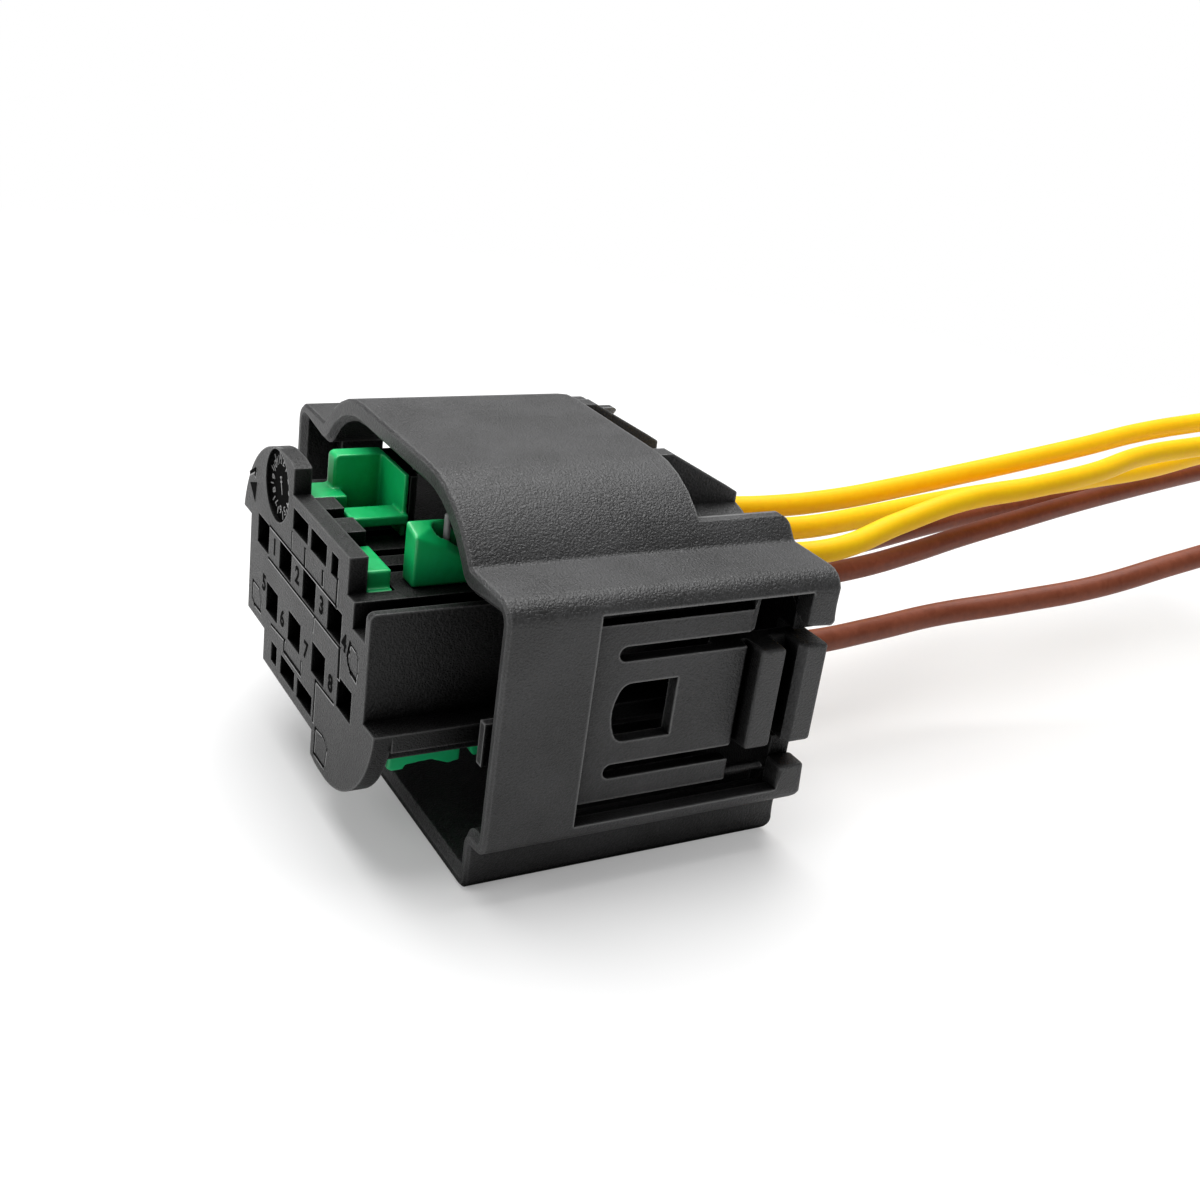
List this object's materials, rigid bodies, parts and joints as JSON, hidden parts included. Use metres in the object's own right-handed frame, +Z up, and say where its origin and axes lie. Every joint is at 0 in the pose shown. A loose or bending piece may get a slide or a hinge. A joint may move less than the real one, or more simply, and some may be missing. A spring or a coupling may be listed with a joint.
{
  "type": "prewired connector plug",
  "caption": "Moulded cable connector plug: a humped black shell with side latch arms round a keyed contact carrier with green lock pieces, and loose wires out of its rear.",
  "frame": {"origin": "under the middle of the plug's length and width, at the underside of its base tray, wires left out", "axes": "+X to the wire side, -X to the mating side, +Y across the width, +Z up from the base to the hump"},
  "size_m": [0.1039, 0.0382, 0.0251],
  "materials": {
    "shell_plastic": "fine moulded grain",
    "carrier_plastic": "satin",
    "lock_plastic": "satin",
    "contact_alloy": "tin plated",
    "cage_steel": "satin",
    "yellow_insulation": "satin",
    "brown_insulation": "satin"
  },
  "bodies": {
    "root": {"outer_shell": "shell_plastic", "contact_carrier": "carrier_plastic", "upper_lock": "lock_plastic", "lower_lock": "lock_plastic", "lock_wedge": "lock_plastic", "contact_1": "contact_alloy", "contact_2": "contact_alloy", "contact_3": "contact_alloy", "contact_4": "contact_alloy", "contact_5": "contact_alloy", "contact_6": "contact_alloy", "cage_1": "cage_steel", "cage_2": "cage_steel", "cage_3": "cage_steel", "cage_4": "cage_steel", "cage_5": "cage_steel", "cage_6": "cage_steel", "wire_yellow_1": "yellow_insulation", "wire_yellow_2": "yellow_insulation", "wire_yellow_3": "yellow_insulation", "wire_brown_1": "brown_insulation", "wire_brown_2": "brown_insulation", "wire_brown_3": "brown_insulation"}
  },
  "joints": []
}
